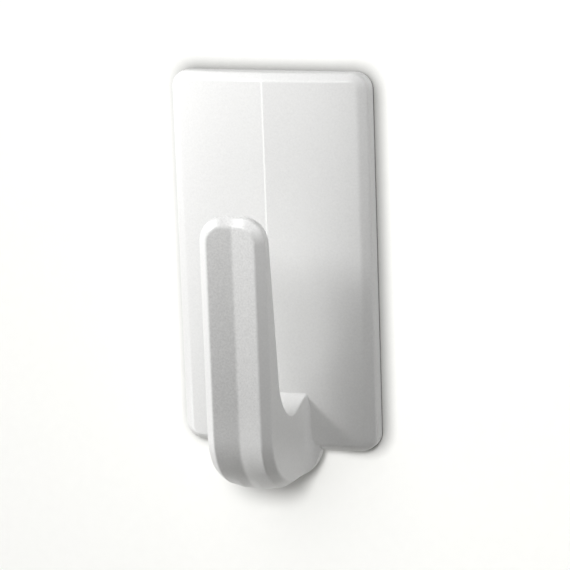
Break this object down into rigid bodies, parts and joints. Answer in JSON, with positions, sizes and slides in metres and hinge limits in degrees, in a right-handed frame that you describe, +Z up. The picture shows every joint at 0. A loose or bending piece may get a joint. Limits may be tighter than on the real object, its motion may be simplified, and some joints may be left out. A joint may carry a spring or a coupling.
{
  "type": "adhesive wall hook",
  "caption": "Rounded faceplate with a J-shaped hook arm that slides down over a flanged base, held on a wall by a stretch-release foam strip.",
  "frame": {"origin": "centre of the strip's sticky face on the wall", "axes": "+Y into the wall, so the hook faces -Y; +Z up; +X to the right as seen from the front"},
  "size_m": [0.0444, 0.0255, 0.0866],
  "materials": {
    "cover_abs": "semi-gloss white ABS, injection moulded",
    "base_abs": "matt white ABS, injection moulded",
    "strip_foam": "white closed-cell polyethylene foam",
    "strip_adhesive": "milky tacky rubber-resin adhesive",
    "tab_film": "smooth translucent polyester film"
  },
  "bodies": {
    "base": {"mounting_base": "base_abs", "foam_core": "strip_foam", "base_side_adhesive": "strip_adhesive", "wall_side_adhesive": "strip_adhesive", "tab_front_film": "tab_film", "tab_back_film": "tab_film"},
    "cover": {"hook_cover": "cover_abs"}
  },
  "joints": [
    {"name": "cover_slide", "type": "slide", "parent": "base", "child": "cover", "axis": [0, 0, 1], "range_m": [0, 0.082]}
  ]
}
